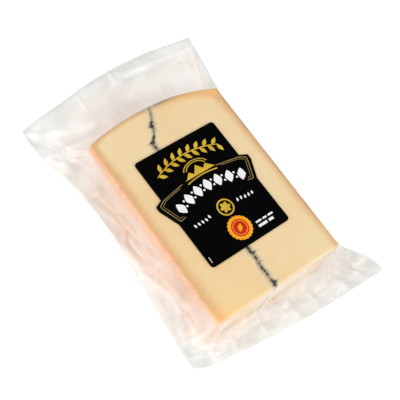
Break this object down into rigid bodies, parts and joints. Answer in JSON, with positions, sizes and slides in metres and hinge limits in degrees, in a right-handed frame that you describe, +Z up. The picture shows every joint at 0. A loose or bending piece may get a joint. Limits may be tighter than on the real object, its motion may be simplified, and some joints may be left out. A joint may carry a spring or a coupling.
{
  "type": "vacuum packed portion of morbier cheese",
  "caption": "Flat oblong portion of semi-hard cheese with a dark ash line, sealed in a clear vacuum pouch with a wide crinkled flange and a black label on top.",
  "frame": {"origin": "below the middle of the pouch's outline, on the surface that the pack lies on", "axes": "+X across the portion from the wheel's one flat rind to the other, +Y from the front cut to the rind at the rim, along the pack's longest side, +Z up through its shortest"},
  "size_m": [0.1056, 0.1464, 0.0327],
  "materials": {
    "paste": "ivory to straw cheese paste, orange brown towards the rinds, slightly moist",
    "ash": "matt blue-black vegetable ash",
    "film": "clear glossy vacuum film, milky where it is folded or doubled",
    "label": "black paper label with a gloss coat and gold and white print"
  },
  "bodies": {
    "root": {"paste_left": "paste", "paste_right": "paste", "ash_layer": "ash", "pouch": "film", "label": "label"}
  },
  "joints": []
}
